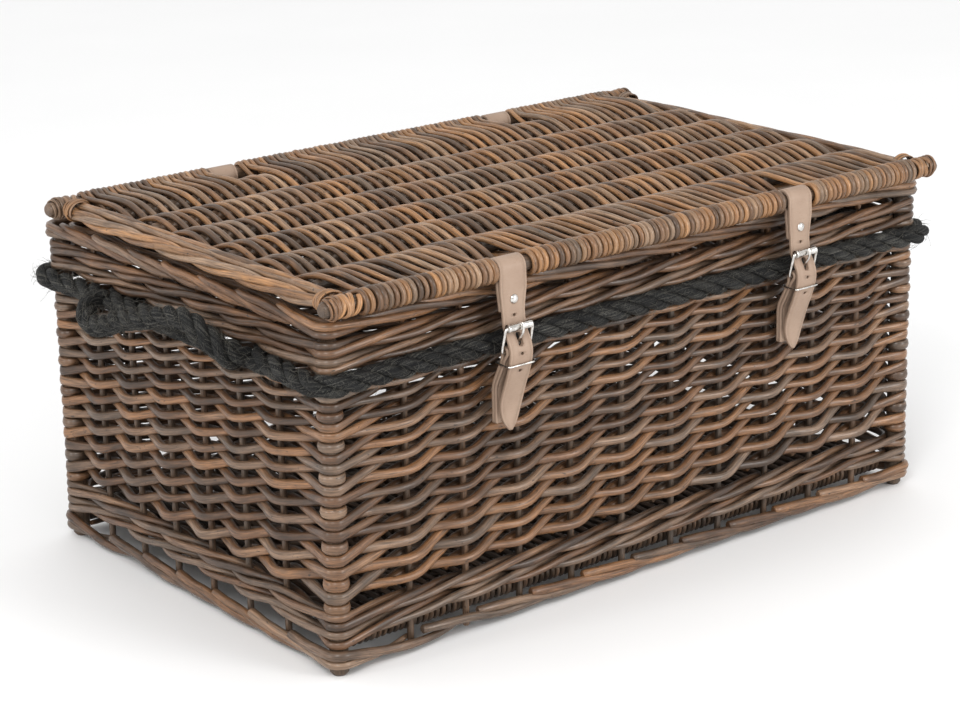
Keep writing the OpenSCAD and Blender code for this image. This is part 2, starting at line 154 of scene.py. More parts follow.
class Bundle:
    """Rods, strips or turned shapes gathered into one mesh.

    Each vertex keeps a place in its own rod (across, across, along) and the three tones of the rod.
    """

    def __init__(self):
        self.points = []
        self.faces = []
        self.rod = []
        self.tone = []
        self.count = 0

    def loft(self, rings, rod, tone=None, closed=False):
        """Joins rings of equal length, with a flat cap at each end unless the loft closes on itself."""
        n, m, _ = rings.shape
        tone = RANDOM.random(3) if tone is None else np.asarray(tone)
        index = self.count + np.arange(n * m).reshape(n, m)
        here = index if closed else index[:-1]
        there = np.roll(index, -1, axis=0) if closed else index[1:]
        quads = [here, np.roll(here, -1, axis=1), np.roll(there, -1, axis=1), there]
        self.faces.append(np.stack(quads, axis=-1).reshape(-1, 4))
        if not closed:
            self.faces.append(index[0][None, ::-1])
            self.faces.append(index[-1][None, :])
        self.points.append(rings.reshape(-1, 3))
        self.rod.append(rod.reshape(-1, 3))
        self.tone.append(np.tile(tone, (n * m, 1)))
        self.count += n * m

    def tube(self, points, r_side, r_deep=None, side=Z_AXIS, tone=None, sides=8, closed=False, twist=0.0):
        """A rod along points. r_side is its half width along side, r_deep across it."""
        points = np.asarray(points, float)
        r_side = np.broadcast_to(np.asarray(r_side, float), len(points))
        r_deep = r_side if r_deep is None else np.broadcast_to(np.asarray(r_deep, float), len(points))
        along = tangents(points, closed)
        side = np.broadcast_to(np.asarray(side, float), points.shape)
        if not closed:
            tip = TIP * r_side[[0, -1], None] * along[[0, -1]] * np.array([[-1.0], [1.0]])
            points = np.vstack([points[0] + tip[0], points, points[-1] + tip[1]])
            along = along[np.r_[0, :len(along), -1]]
            side = side[np.r_[0, :len(side), -1]]
            r_side, r_deep = (np.r_[0.7 * r[0], r, 0.7 * r[-1]] for r in (r_side, r_deep))
        across = unit(side - np.sum(side * along, axis=1, keepdims=True) * along)
        deep = np.cross(along, across)
        angle = 2 * math.pi * np.arange(sides) / sides
        cos, sin = np.cos(angle)[None, :, None], np.sin(angle)[None, :, None]
        rings = points[:, None] + cos * (r_side[:, None] * across)[:, None]
        rings = rings + sin * (r_deep[:, None] * deep)[:, None]
        length = travelled(points)[:, None] + np.zeros(sides)
        turned = angle[None, :] + twist * length
        radius = r_side[:, None]
        offset = self.count % ROD_OFFSETS
        rod = np.stack([radius * np.cos(turned), radius * np.sin(turned), length + offset], axis=-1)
        self.loft(rings, rod, tone, closed)

    def rod_through(self, knots):
        """A rod along a smooth curve through rows of place, half width and half depth."""
        rows = spline(knots, 5.0)
        self.tube(rows[:, :3], rows[:, 3], rows[:, 4], side=X_AXIS)

    def turned(self, origin, axis, profile, tone=None, sides=32):
        """A shape turned on a lathe: profile is (radius, distance along the axis)."""
        axis = unit(np.asarray(axis, float))
        first = unit(np.cross(axis, X_AXIS if abs(axis[0]) < 0.9 else Y_AXIS))
        second = np.cross(axis, first)
        angle = 2 * math.pi * np.arange(sides) / sides
        circle = np.cos(angle)[:, None] * first + np.sin(angle)[:, None] * second
        rings = np.array([np.asarray(origin) + h * axis + r * circle for r, h in profile])
        self.loft(rings, rings - np.asarray(origin), tone)

    def build(self, name, *nodes):
        """Makes the mesh, gives it its finish, and puts it in the place of the CAD nodes."""
        mesh = bpy.data.meshes.new(name)
        loops = np.concatenate([f.ravel() for f in self.faces])
        totals = np.concatenate([np.full(len(f), f.shape[1]) for f in self.faces])
        mesh.vertices.add(self.count)
        mesh.vertices.foreach_set("co", (np.concatenate(self.points) * MM).ravel())
        mesh.loops.add(len(loops))
        mesh.loops.foreach_set("vertex_index", loops)
        mesh.polygons.add(len(totals))
        mesh.polygons.foreach_set("loop_start", np.concatenate([[0], np.cumsum(totals)[:-1]]))
        mesh.polygons.foreach_set("loop_total", totals)
        mesh.update(calc_edges=True)
        mesh.polygons.foreach_set("use_smooth", totals == 4)
        for attribute, rows, scale in (("rod", self.rod, MM), ("tone", self.tone, 1.0)):
            layer = mesh.attributes.new(attribute, "FLOAT_VECTOR", "POINT")
            layer.data.foreach_set("vector", (np.concatenate(rows) * scale).ravel())
        mesh.materials.append(FINISH[SLOT_OF[nodes[0]]])
        piece = bpy.data.objects.new(name, mesh)
        bpy.context.scene.collection.objects.link(piece)
        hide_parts(*nodes)
        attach(piece, BODY_OF[nodes[0]])
        return piece


# ---- Finishes ----

class Graph:
    """A material's nodes, added one by one."""

    def __init__(self, name, **shader):
        self.material = bpy.data.materials.new(name)
        self.material.use_nodes = True
        self.tree = self.material.node_tree
        self.shader = self.tree.nodes["Principled BSDF"]
        for socket, value in shader.items():
            self.shader.inputs[socket.replace("_", " ")].default_value = value

    def add(self, kind, inputs=(), **settings):
        node = self.tree.nodes.new("ShaderNode" + kind)
        for key, value in settings.items():
            setattr(node, key, value)
        for key, value in dict(inputs).items():
            self.give(node, key, value)
        return node

    def give(self, node, key, value):
        if isinstance(value, bpy.types.NodeSocket):
            self.tree.links.new(value, node.inputs[key])
        else:
            node.inputs[key].default_value = value

    def attribute(self, name):
        return self.add("Attribute", attribute_name=name).outputs["Vector"]

    def noise(self, vector, scale, detail=4.0, rough=0.55):
        inputs = {"Vector": vector, "Scale": scale, "Detail": detail, "Roughness": rough}
        return self.add("TexNoise", inputs).outputs["Fac"]

    def stretched(self, vector, x, y, z):
        return self.add("VectorMath", {0: vector, 1: (x, y, z)}, operation="MULTIPLY").outputs["Vector"]

    def ramp(self, value, stops):
        node = self.add("ValToRGB", {"Fac": value})
        while len(node.color_ramp.elements) < len(stops):
            node.color_ramp.elements.new(0.5)
        for element, (position, colour) in zip(node.color_ramp.elements, stops):
            element.position = position
            element.color = (*colour, 1.0)
        return node.outputs["Color"]

    def remap(self, value, low, high, to_low, to_high):
        inputs = {"Value": value, "From Min": low, "From Max": high, "To Min": to_low, "To Max": to_high}
        return self.add("MapRange", inputs).outputs["Result"]

    def mix(self, factor, a, b, blend="MIX"):
        node = self.add("Mix", data_type="RGBA", blend_type=blend)
        for key, value in ((0, factor), (6, a), (7, b)):
            self.give(node, key, value)
        return node.outputs[2]

    def lightened(self, base, tone, darkest):
        """Each rod's own brightness."""
        light = self.ramp(tone, ((0.0, grey(darkest)), (1.0, grey(1.25))))
        return self.mix(1.0, base, light, "MULTIPLY")

    def math(self, operation, a, b):
        return self.add("Math", {0: a, 1: b}, operation=operation).outputs["Value"]

    def bump(self, height, strength, distance, normal=None):
        inputs = {"Height": height, "Strength": strength, "Distance": distance}
        if normal is not None:
            inputs["Normal"] = normal
        return self.add("Bump", inputs).outputs["Normal"]

    def finish(self, **links):
        for socket, value in links.items():
            self.tree.links.new(value, self.shader.inputs[socket.replace("_", " ")])
        return self.material


def grey(value):
    return (value, value, value)


def willow(name, colours, worn, roughness):
    """Steamed willow: a colour for each rod, with streaks, blotches, dark specks and worn grey patches."""
    g = Graph(name, Coat_Weight=0.3, Coat_Roughness=0.22)
    rod = g.attribute("rod")
    tones = g.add("SeparateXYZ", {0: g.attribute("tone")})
    streaks = g.noise(g.stretched(rod, 1.0, 1.0, 0.05), 1100.0, 5.0, 0.6)
    fibres = g.noise(g.stretched(rod, 1.0, 1.0, 0.02), 2600.0, 3.0)
    blotches = g.noise(g.stretched(rod, 1.0, 1.0, 0.3), 85.0, 4.0)
    specks = g.noise(g.stretched(rod, 1.0, 1.0, 0.5), 430.0, 2.0)
    shade = g.math("ADD", tones.outputs["X"], g.remap(blotches, 0.3, 0.7, -0.35, 0.35))
    base = g.ramp(shade, colours)
    greyed = g.remap(g.math("ADD", tones.outputs["Z"], blotches), 0.95, 1.5, 0.0, 0.6)
    base = g.mix(greyed, base, (*worn, 1.0))
    streak = g.ramp(streaks, ((0.30, grey(0.42)), (0.5, grey(0.95)), (0.70, grey(1.55))))
    base = g.mix(1.0, base, streak, "MULTIPLY")
    base = g.lightened(base, tones.outputs["Y"], 0.75)
    dark = g.remap(specks, 0.66, 0.74, 0.0, 0.8)
    base = g.mix(dark, base, (0.012, 0.008, 0.006, 1.0))
    rough = g.remap(streaks, 0.3, 0.7, roughness + 0.12, roughness - 0.08)
    relief = g.bump(streaks, 0.55, 0.0006)
    relief = g.bump(fibres, 0.35, 0.0002, relief)
    return g.finish(Base_Color=base, Roughness=rough, Normal=relief)


def rope_finish(name):
    """Tarred hemp: fine slanting yarns with lighter hairs among them. A tone X over 1 is a loose hair."""
    g = Graph(name, Specular_IOR_Level=0.3)
    rod = g.attribute("rod")
    tones = g.add("SeparateXYZ", {0: g.attribute("tone")})
    yarns = g.noise(g.stretched(rod, 1.0, 1.0, 0.06), 620.0, 5.0, 0.65)
    hairs = g.noise(g.stretched(rod, 1.0, 1.0, 0.025), 1500.0, 3.0, 0.6)
    patches = g.noise(rod, 120.0, 2.0)
    tar = ((0.36, (0.003, 0.003, 0.004)), (0.5, (0.013, 0.0135, 0.0135)), (0.66, (0.06, 0.058, 0.052)))
    base = g.ramp(yarns, tar)
    hairiness = g.remap(patches, 0.35, 0.65, 0.15, 0.85)
    pale = g.math("MULTIPLY", g.remap(hairs, 0.54, 0.68, 0.0, 1.0), hairiness)
    base = g.mix(pale, base, (0.20, 0.19, 0.165, 1.0))
    hair = g.remap(tones.outputs["X"], 1.2, 1.6, 0.0, 1.0)
    base = g.mix(hair, base, (0.13, 0.123, 0.105, 1.0))
    base = g.lightened(base, tones.outputs["Y"], 0.8)
    relief = g.bump(yarns, 1.0, 0.0022)
    relief = g.bump(hairs, 0.8, 0.0008, relief)
    rough = g.remap(yarns, 0.3, 0.7, 0.8, 0.5)
    return g.finish(Base_Color=base, Roughness=rough, Normal=relief)


def leather_finish(name):
    """Pale vegetable-tanned leather with pores, fine wrinkles and a lighter cut edge."""
    g = Graph(name, Coat_Weight=0.05, Coat_Roughness=0.4)
    place = g.add("TexCoord").outputs["Object"]
    cloud = g.noise(place, 55.0, 3.0)
    grain = g.add("TexVoronoi", {"Vector": place, "Scale": 1500.0}).outputs["Distance"]
    wrinkles = g.noise(g.stretched(place, 1.0, 3.0, 3.0), 380.0, 5.0, 0.6)
    base = g.ramp(cloud, ((0.3, (0.30, 0.212, 0.156)), (0.7, (0.345, 0.25, 0.187))))
    edge = g.add("SeparateXYZ", {0: g.attribute("tone")}).outputs["X"]
    base = g.mix(g.remap(edge, 0.5, 1.0, 0.0, 0.6), base, (0.36, 0.27, 0.175, 1.0))
    base = g.mix(g.remap(wrinkles, 0.58, 0.75, 0.0, 0.35), base, (0.23, 0.135, 0.077, 1.0))
    rough = g.remap(wrinkles, 0.3, 0.7, 0.46, 0.64)
    relief = g.bump(wrinkles, 0.25, 0.0004)
    relief = g.bump(grain, 0.12, 0.0002, relief)
    return g.finish(Base_Color=base, Roughness=rough, Normal=relief)


def nickel_finish(name):
    """Polished nickel plate with faint brushing and dulled spots."""
    g = Graph(name, Metallic=1.0)
    place = g.add("TexCoord").outputs["Object"]
    brushing = g.noise(g.stretched(place, 0.2, 1.0, 1.0), 3000.0, 3.0)
    spots = g.noise(place, 260.0, 3.0)
    base = g.ramp(spots, ((0.35, (0.50, 0.48, 0.45)), (0.65, (0.74, 0.72, 0.69))))
    rough = g.math("ADD", g.remap(spots, 0.4, 0.7, 0.14, 0.30), g.remap(brushing, 0.3, 0.7, 0.0, 0.08))
    relief = g.bump(brushing, 0.06, 0.0001)
    return g.finish(Base_Color=base, Roughness=rough, Normal=relief)


WALL_COLOURS = (
    (0.00, (0.060, 0.033, 0.018)),
    (0.30, (0.114, 0.058, 0.029)),
    (0.62, (0.162, 0.084, 0.041)),
    (0.85, (0.210, 0.106, 0.048)),
    (1.00, (0.186, 0.100, 0.050)),
)
LID_COLOURS = (
    (0.00, (0.098, 0.054, 0.028)),
    (0.30, (0.182, 0.095, 0.046)),
    (0.62, (0.254, 0.132, 0.060)),
    (0.85, (0.305, 0.159, 0.066)),
    (1.00, (0.262, 0.142, 0.068)),
)
STICK_COLOURS = (
    (0.00, (0.054, 0.035, 0.022)),
    (0.50, (0.102, 0.063, 0.038)),
    (1.00, (0.144, 0.086, 0.052)),
)
FINISH = {
    "willow_weave": willow("willow_weave_rods", WALL_COLOURS, (0.205, 0.150, 0.108), 0.38),
    "willow_lid": willow("willow_lid_rods", LID_COLOURS, (0.270, 0.195, 0.134), 0.42),
    "willow_sticks": willow("willow_stick_bark", STICK_COLOURS, (0.140, 0.104, 0.078), 0.5),
    "rope": rope_finish("rope_yarn"),
    "leather": leather_finish("strap_leather"),
    "nickel": nickel_finish("nickel_plate"),
}


# ---- The ring of uprights ----

def ring_of_uprights():
    """Every upright, anticlockwise from the front left post: place, wall, radius, and whether a post."""
    low, high = extent("stakes_front", 0)
    xs = np.linspace(low + STAKE_R, high - STAKE_R, STAKES_LONG)
    low, high = extent("stakes_back", 0)
    back_xs = np.linspace(high - STAKE_R, low + STAKE_R, STAKES_LONG)
    low, high = extent("stakes_right", 1)
    ys = np.linspace(low + STAKE_R, high - STAKE_R, STAKES_SHORT)
    places = [(LEFT, FRONT)] + [(x, FRONT) for x in xs] + [(RIGHT, FRONT)] + [(RIGHT, y) for y in ys]
    places += [(RIGHT, BACK)] + [(x, BACK) for x in back_xs]
    places += [(LEFT, BACK)] + [(LEFT, y) for y in ys[::-1]]
    walls = [(0, -1)] * (STAKES_LONG + 1) + [(1, 0)] * (STAKES_SHORT + 1)
    walls += [(0, 1)] * (STAKES_LONG + 1) + [(-1, 0)] * (STAKES_SHORT + 1)
    corner = np.array([x in (LEFT, RIGHT) and y in (FRONT, BACK) for x, y in places])
    return np.array(places, float), np.array(walls, float), np.where(corner, CORNER_R, STAKE_R), corner


PLACES, WALLS, RADII, CORNER = ring_of_uprights()
COUNT = len(PLACES)


def plan(s, side, clear):
    """Where a rod goes at upright s, or part of the way to the next: side 1 is outside, -1 inside."""
    i = int(math.floor(s + 1e-6))
    part = s - i
    here = i % COUNT
    if part > 1e-3:
        between = PLACES[here] + (PLACES[(here + 1) % COUNT] - PLACES[here]) * part
        return [between + side * (STAKE_R + clear) * WALLS[here]]
    reach = RADII[here] + clear
    if not CORNER[here]:
        return [PLACES[here] + side * reach * WALLS[here]]
    before, after = WALLS[here - 1], WALLS[here]
    if side < 0:
        return [PLACES[here] - (before + after) / math.sqrt(2) * reach]
    return [PLACES[here] + reach * unit(before * (1 - t) + after * t) for t in (0.0, 0.2, 0.5, 0.8, 1.0)]


class Rod:
    """The knots of one rod: place, half height and half depth at each."""

    def __init__(self, jitter=0.25):
        self.knots = []
        self.jitter = jitter

    def through(self, s, side, z, high, deep=None):
        deep = high if deep is None else deep
        shift = RANDOM.normal(0.0, self.jitter)
        for x, y in plan(s, side, deep):
            self.knots.append((x, y, z + shift, high, deep))

    def lay(self, bundle, closed=False, step=6.5, tone=None):
        rows = spline(self.knots, step, closed)
        wander = 1.0 + 0.035 * np.sin(np.arange(len(rows)) * 0.9 + RANDOM.random() * 6.3)
        bundle.tube(rows[:, :3], rows[:, 3] * wander, rows[:, 4] * wander, closed=closed, tone=tone)


# ---- Walls ----

RAND_LAYERS = 26
# The height of a layer, from the rods' tips at the top to their butts at the bottom
TIP_PITCH = 5.1
BUTT_PITCH = 2 * (RAND_HIGH - RAND_LOW) / RAND_LAYERS - TIP_PITCH


def layer_pitch(n):
    return BUTT_PITCH - (BUTT_PITCH - TIP_PITCH) * n / RAND_LAYERS


def layer_z(n):
    climbed = BUTT_PITCH * n - (BUTT_PITCH - TIP_PITCH) * n * n / (2 * RAND_LAYERS)
    return min(RAND_LOW + climbed, RAND_HIGH - 2)


def corner_layer(group, row):
    """Each four layers make three rows on a corner post: a passing rod, a wrap, a passing rod."""
    lift = 0.8
    return 4 * group + 4 * (row + 0.5) / 3 + lift


def rand_rods():
    """Rods that start at every upright and climb one layer at each, outside one and inside the next."""
    bundle = Bundle()
    for start in range(COUNT):
        thick = RANDOM.normal(1.0, 0.06)
        rod = Rod(0.3)
        rod.through(start - 0.3, -1, layer_z(0.6), 0.5 * layer_pitch(0) * thick)
        for n in range(RAND_LAYERS + 1):
            s = start + n
            half = 0.53 * layer_pitch(n) * thick
            outside = n % 2 == 1
            if n > 0:
                rod.through(s - 0.5, 0, layer_z(n + 0.5), half)
            if outside and CORNER[s % COUNT]:
                z = layer_z(corner_layer(n // 4, n % 4 - 1))
                rod.through(s, 1, z, 0.64 * layer_pitch(n), 0.5 * half)
            elif outside:
                rod.through(s, 1, layer_z(n + 0.5), half)
            else:
                rod.through(s, -1, layer_z(n + 1.4), half)
        rod.through(start + RAND_LAYERS + 0.3, -1, RAND_HIGH - 1, 0.4 * TIP_PITCH)
        rod.lay(bundle)
    for corner in np.flatnonzero(CORNER):
        post_wrap(bundle, PLACES[corner], layer_z(0.35), 0.5 * BUTT_PITCH)
        for group in range(RAND_LAYERS // 4):
            layer = corner_layer(group, 1)
            post_wrap(bundle, PLACES[corner], layer_z(layer), 0.62 * layer_pitch(layer))
    bundle.build("rand_rods", "rand_front", "rand_back", "rand_left", "rand_right")


def post_wrap(bundle, place, z, half):
    """One turn of a rod round a corner post."""
    deep = 2.0
    reach = CORNER_R + deep
    angle = np.linspace(0, 2 * math.pi, 18, endpoint=False) + RANDOM.random()
    ring = [(place[0] + reach * math.cos(a), place[1] + reach * math.sin(a), z) for a in angle]
    bundle.tube(np.array(ring), half, deep, closed=True)


def wale(bundle, low, rounds, pitch, half, dip=0.0):
    """Rounds of three rods that each pass outside two uprights and inside one, and so lie like a cord.

    dip is how much lower the lowest row lies at a corner post.
    """
    for turn in range(rounds):
        z = low + (turn + 0.5) * pitch
        for strand in range(3):
            rod = Rod(0.35)
            thick = half * RANDOM.normal(1.0, 0.05)
            for s in range(COUNT):
                phase = (s + strand + turn) % 3
                lift = (0.0, -0.25, 0.25)[phase] * pitch
                side = -1 if phase == 0 else 1
                if CORNER[s]:
                    sink = dip * (1 - (z + lift - low) / (rounds * pitch))
                    rod.through(s, side, z + lift - sink, 1.12 * thick, 0.75 * thick)
                else:
                    rod.through(s, side, z + lift, thick)
            rod.lay(bundle, closed=True)


def bottom_wale():
    bundle = Bundle()
    rounds = 2
    pitch = (WALE_HIGH - WALE_LOW) / rounds
    wale(bundle, WALE_LOW, rounds, pitch, 0.255 * pitch, 5.5)
    bundle.build("bottom_wale_rods", "bottom_wale")


def top_wale():
    bundle = Bundle()
    rounds = 2
    pitch = 12.0
    wale(bundle, TOP_LOW - 3.4, rounds, pitch, 2.95)
    bundle.build("top_wale_rods", "top_wale")


# A border rod's way: uprights ahead, side of the wall, distance under the top, share of its thickness
BORDER_WAY = (
    (0.16, 0.5, 0.6, 1.0),
    (0.5, 1, 0.0, 1.0),
    (1, 1, 1.0, 1.0),
    (2, 1, 6.3, 1.0),
    (2.5, 0, 7.5, 0.92),
    (3, -1, 7.0, 0.85),
    (3.5, -1, 4.0, 0.8),
)


def top_border():
    """Each stake's top turns down to the right, outside two uprights, and goes in behind the next."""
    bundle = Bundle()
    half = 3.2
    high = BORDER_HIGH - half + 1.2
    for s in range(COUNT):
        rod = Rod(0.3)
        thick = half * RANDOM.normal(1.0, 0.05)
        if not CORNER[s]:
            rod.through(s, 0, BORDER_LOW - 4, STAKE_R)
            rod.through(s, 0, BORDER_LOW + 7, STAKE_R)
        for ahead, side, down, slim in BORDER_WAY:
            rod.through(s + ahead, side, high - down, slim * thick)
        rod.lay(bundle, step=5.0)
    for strand in range(2):
        rod = Rod(0.4)
        for s in range(COUNT):
            side = -1 if (s + strand) % 2 else -1.6
            rod.through(s, side, high - 1.5 - 5.0 * strand, 2.8)
        rod.lay(bundle, closed=True)
    bundle.build("top_border_rods", "top_border")


def foot_border():
    """Butt ends laid down just past each upright, running right and tapering away under the next."""
    bundle = Bundle()
    for s in np.flatnonzero(~CORNER):
        rod = Rod(0.3)
        thick = 3.8 * RANDOM.normal(1.0, 0.06)
        up = [5.0 * CORNER[(s + k) % COUNT] for k in (1, 2)]
        rod.through(s + 0.16, 0.75, FOOT_HIGH - thick + 0.8, thick)
        rod.through(s + 0.5, 0.95, FOOT_HIGH - thick, thick)
        rod.through(s + 1, 1, FOOT_HIGH - thick - 2.0 + up[0], thick, 0.9 * thick)
        rod.through(s + 1.5, 1, FOOT_LOW + 5.0 + 0.3 * sum(up), 0.95 * thick, 0.9 * thick)
        rod.through(s + 2, 1, FOOT_LOW + 3.4 + 0.6 * up[1], 0.88 * thick, 0.8 * thick)
        rod.through(s + 2.6, 0.3, FOOT_LOW + 3.0, 0.62 * thick)
        rod.through(s + 3, -1, FOOT_LOW + 5.0, 0.5 * thick)
        rod.lay(bundle, step=5.0)
    bundle.build("foot_border_rods", "foot_border")


def straight_stick(bundle, start, end, radius, bend=0.4, sides=12):
    """A peeled stick that is not quite straight or round."""
    start, end = np.asarray(start, float), np.asarray(end, float)
    count = max(4, int(np.linalg.norm(end - start) / 12))
    t = np.linspace(0, 1, count)[:, None]
    along = unit(end - start)
    first = unit(np.cross(along, X_AXIS if abs(along[0]) < 0.9 else Z_AXIS))
    second = np.cross(along, first)
    a, b = RANDOM.random(2) * 6.3
    sway = bend * np.sin(math.pi * t) * (np.sin(5 * t + a) * first + np.cos(7 * t + b) * second)
    radii = radius * (1 + 0.02 * np.sin(np.arange(count) * 1.7 + a))
    bundle.tube(start + (end - start) * t + sway, radii, side=first, sides=sides)


def uprights():
    for node in ("post_front_left", "post_front_right", "post_back_left", "post_back_right"):
        x, y, _ = middle(node)
        low, high = extent(node, 2)
        bundle = Bundle()
        straight_stick(bundle, (x, y, low + TIP * POST_R), (x, y, high + 3), POST_R, 0.1, 20)
        bundle.build(node + "_stick", node)
    first = 0
    for wall in ("front", "right", "back", "left"):
        count = STAKES_LONG if wall in ("front", "back") else STAKES_SHORT
        bundle = Bundle()
        low, _ = extent("stakes_" + wall, 2)
        for x, y in PLACES[first + 1:first + count + 1]:
            straight_stick(bundle, (x, y, low), (x, y, BORDER_LOW - 2), STAKE_R, 0.35, 10)
        bundle.build("stakes_" + wall + "_rods", "stakes_" + wall)
        first += count + 1


# ---- Lid and base ----

def panel(bundle, xs, front, back, z, inner, outer_r, inner_r, half, bare=(), slack=0.0):
    """Rods that go over one stick and under the next, and take a turn round the two outer sticks.

    bare lists the stretches of the outer sticks, as (low, high) in x, that stay free for a strap.
    slack is how far the turns stand off the outer sticks.
    """
    reach = outer_r + slack + 0.8 * half
    for i, x in enumerate(xs):
        thick = half * RANDOM.normal(1.0, 0.07)
        flat = 0.8 * thick
        free = any(low < x < high for low, high in bare)
        lean = RANDOM.normal(0.0, 0.5)
        for y, way in ((front, -1), (back, 1)):
            if free:
                wrap = [(x, y - way * (outer_r + 9), z - 4.0, thick, flat)]
            else:
                turn = np.radians([285, 245, 205, 165, 125, 85, 50])
                slip = np.linspace(half * 1.1, 0.0, len(turn))
                wide = 0.92 * thick
                wrap = [
                    (x + sideways, y - way * reach * math.cos(a), z + reach * math.sin(a), wide, flat)
                    for sideways, a in zip(slip, turn)
                ]
                wrap.insert(0, (x + half * 1.1, y - way * (outer_r + 7), z - outer_r * 0.75, thick, flat))
            if way < 0:
                knots = wrap
            else:
                tail = wrap[::-1]
        for k, y in enumerate(inner):
            up = 1 if (i + k) % 2 else -1
            lift = up * (inner_r + 0.92 * thick)
            knots.append((x + lean * up + RANDOM.normal(0, 0.25), y, z + lift, thick, 0.95 * thick))
        knots += tail
        bundle.rod_through(knots)


def strap_gaps(half):
    return [(side * STRAP_X - half, side * STRAP_X + half) for _, side in SIDES]


def inner_rows(front, back, count):
    """Even places for sticks between the two outer ones."""
    return np.linspace(front, back, count + 2)[1:-1]


INNER_STICKS = 6
LID_INNER = inner_rows(LID_FRONT, LID_BACK, INNER_STICKS)
LID_INNER_R = 4.5
_, BASE_FRONT, BASE_Z = middle("base_stick_front")
BASE_BACK = middle("base_stick_back")[1]
_, BASE_HALF = extent("base_stick_front", 0)
BASE_INNER = inner_rows(BASE_FRONT, BASE_BACK, INNER_STICKS)
BASE_STICK_R = 5.0
BASE_INNER_R = 3.0


def lid_weave():
    bundle = Bundle()
    count = 108
    half = 2.55
    edge = LID_HALF - half
    xs = np.linspace(-edge, edge, count) + RANDOM.normal(0.0, 0.25, count)
    bare = strap_gaps(STRAP_W / 2 + 3.5)
    panel(bundle, xs, LID_FRONT, LID_BACK, LID_Z, LID_INNER, STICK_R, LID_INNER_R, half, bare)
    bundle.build("lid_weave_rods", "lid_weave")


def base_weave():
    bundle = Bundle()
    count = 104
    half = 2.3
    edge = BASE_HALF - half - 2
    xs = np.linspace(-edge, edge, count) + RANDOM.normal(0.0, 0.3, count)
    radii = (BASE_STICK_R, BASE_INNER_R)
    panel(bundle, xs, BASE_FRONT, BASE_BACK, BASE_Z, BASE_INNER, *radii, half, slack=1.7)
    bundle.build("base_weave_rods", "base_weave")


def stick_row(name, node, ys, half, z, radius):
    """Straight sticks from end to end of a panel. A stick alone in its row does not sway."""
    bundle = Bundle()
    reach = half - TIP * radius
    bend = 0.0 if len(ys) == 1 else 0.5
    for y in ys:
        straight_stick(bundle, (-reach, y, z), (reach, y, z), radius, bend, 16)
    bundle.build(name, node)


def sticks():
    stick_row("lid_stick_front_wood", "lid_stick_front", [LID_FRONT], STICK_HALF, LID_Z, STICK_R)
    stick_row("lid_stick_back_wood", "lid_stick_back", [LID_BACK], STICK_HALF, LID_Z, STICK_R)
    stick_row("lid_inner_wood", "lid_inner_sticks", LID_INNER, LID_HALF - 2, LID_Z, LID_INNER_R)
    stick_row("base_stick_front_wood", "base_stick_front", [BASE_FRONT], BASE_HALF, BASE_Z, BASE_STICK_R)
    stick_row("base_stick_back_wood", "base_stick_back", [BASE_BACK], BASE_HALF, BASE_Z, BASE_STICK_R)
    stick_row("base_inner_wood", "base_inner_sticks", BASE_INNER, BASE_HALF - 2, BASE_Z, BASE_INNER_R)


def lid_borders():
    """Rods laid along the lid's ends, over two sticks and under one, in two rounds of three."""
    stations = np.concatenate([[LID_FRONT + 15], LID_INNER, [LID_BACK - 15]])
    for name, side in SIDES:
        centre = middle("lid_border_" + name)[0]
        bundle = Bundle()
        for turn in range(2):
            for strand in range(3):
                thick = 3.0 * RANDOM.normal(1.0, 0.06)
                knots = []
                for k, y in enumerate(stations):
                    phase = (k + strand + turn) % 3
                    out = side * ((-3.0, 8.5)[turn] + (0.0, -1.6, 1.9)[phase])
                    lift = -5.2 if phase == 0 else 4.4 - 0.45 * abs(out)
                    end = k in (0, len(stations) - 1)
                    squeeze = 0.8 if end else 1.0
                    knots.append((centre + out * squeeze, y, LID_Z + lift * squeeze, thick, thick))
                bundle.rod_through(knots)
        for strand in range(4):
            angle = 2 * math.pi * strand / 4 + 0.4
            x = centre + 3.4 * math.cos(angle)
            z = LID_Z + 3.4 * math.sin(angle)
            straight_stick(bundle, (x, stations[0] - 2, z), (x, stations[-1] + 2, z), 2.6, 1.2, 8)
        bundle.build("lid_border_" + name + "_rods", "lid_border_" + name)


def coil(bundle, start, first, axis, radii, length, turns, skein):
    """Split willow wound turn after turn round axis. radii are along first and upwards."""
    t = np.linspace(0, 1, int(26 * turns))[:, None]
    angle = 2 * math.pi * turns * t + RANDOM.random() * 6.3
    loose = 1 + 0.05 * np.sin(angle * 0.37 + RANDOM.random() * 6.3)
    around = radii[0] * np.cos(angle) * first + radii[1] * np.sin(angle) * Z_AXIS
    wobble = 0.7 * skein * np.sin(angle * 1.31 + 2.0)
    path = start + around * loose + (length * t + wobble) * axis
    bundle.tube(path, skein, 0.6 * skein, side=axis, sides=8)


